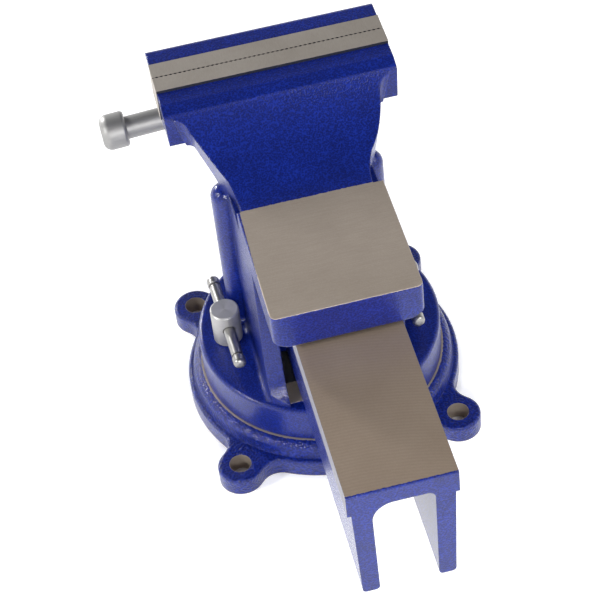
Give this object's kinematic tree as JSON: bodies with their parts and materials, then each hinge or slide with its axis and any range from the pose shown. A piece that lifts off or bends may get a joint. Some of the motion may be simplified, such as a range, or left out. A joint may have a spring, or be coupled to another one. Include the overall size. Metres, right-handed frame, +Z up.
{
  "type": "bench vise",
  "caption": "Swivel-base bench vise with replaceable jaw plates, square anvil, inverted-channel beam, sliding tommy-bar handle and swivel lock bolts.",
  "frame": {"origin": "on the swivel axis, in the plane of the bench top, at the centre of the four bench bolt holes", "axes": "+Z up; +Y to the rear, towards the anvil and the beam's tail; the operator stands at -Y, where the sliding jaw and handle are; +X to the operator's right"},
  "size_m": [0.2012, 0.4157, 0.216],
  "materials": {
    "casting_paint": "glossy hammered enamel",
    "jaw_plate_steel": "ground",
    "black_steel": "black oxide",
    "screw_steel": "turned, oiled",
    "bright_steel": "satin",
    "spring_steel": "dark",
    "nut_iron": "as cast",
    "bolt_zinc": "zinc plated",
    "handle_steel": "satin plated",
    "lock_steel": "turned, plated"
  },
  "bodies": {
    "base": {"swivel_base": "casting_paint"},
    "body": {"fixed_jaw_body": "casting_paint", "fixed_jaw_plate": "jaw_plate_steel", "fixed_plate_screws": "black_steel", "main_nut": "nut_iron", "nut_bolts": "bolt_zinc", "nut_washers": "bolt_zinc", "lock_lug_right": "nut_iron", "lock_lug_left": "nut_iron"},
    "jaw": {"sliding_jaw": "casting_paint", "sliding_jaw_plate": "jaw_plate_steel", "sliding_plate_screws": "black_steel", "thrust_washer": "bright_steel", "inner_washer": "bright_steel", "take_up_spring": "spring_steel"},
    "screw": {"main_screw": "screw_steel", "retaining_collar": "bright_steel", "collar_pin": "spring_steel"},
    "handle": {"handle_bar": "handle_steel", "handle_knob_right": "handle_steel", "handle_knob_left": "handle_steel"},
    "right_lock": {"lock_bolt_right": "lock_steel"},
    "right_lock_bar": {"lock_bar_right": "lock_steel", "lock_bar_caps_right": "lock_steel"},
    "left_lock": {"lock_bolt_left": "lock_steel"},
    "left_lock_bar": {"lock_bar_left": "lock_steel", "lock_bar_caps_left": "lock_steel"}
  },
  "joints": [
    {"name": "base_swivel", "type": "hinge", "parent": "base", "child": "body", "pos_m": [0, 0, 0.0244], "axis": [0, 0, 1], "continuous": true},
    {"name": "jaw_slide", "type": "slide", "parent": "body", "child": "jaw", "axis": [0, -1, 0], "range_m": [0, 0.15]},
    {"name": "screw_turn", "type": "hinge", "parent": "jaw", "child": "screw", "pos_m": [0, -0.15, 0.106], "axis": [0, -1, 0], "range_deg": [0, 9000]},
    {"name": "handle_slide", "type": "slide", "parent": "screw", "child": "handle", "axis": [0.9986, 0, -0.0523], "range_m": [-0.074, 0.034]},
    {"name": "right_lock_turn", "type": "hinge", "parent": "body", "child": "right_lock", "pos_m": [0.0605, -0.003, 0.06], "axis": [0, 0, 1], "range_deg": [-1, 7]},
    {"name": "right_bar_slide", "type": "slide", "parent": "right_lock", "child": "right_lock_bar", "axis": [-0.0262, 0.9997, 0], "range_m": [-0.02, 0.02]},
    {"name": "left_lock_turn", "type": "hinge", "parent": "body", "child": "left_lock", "pos_m": [-0.0605, -0.003, 0.06], "axis": [0, 0, 1], "range_deg": [-7, 1]},
    {"name": "left_bar_slide", "type": "slide", "parent": "left_lock", "child": "left_lock_bar", "axis": [0.0262, 0.9997, 0], "range_m": [-0.02, 0.02]}
  ],
  "couplings": [
    {"joint": "screw_turn", "follows": "jaw_slide", "rad_per_m": 1047.2}
  ]
}
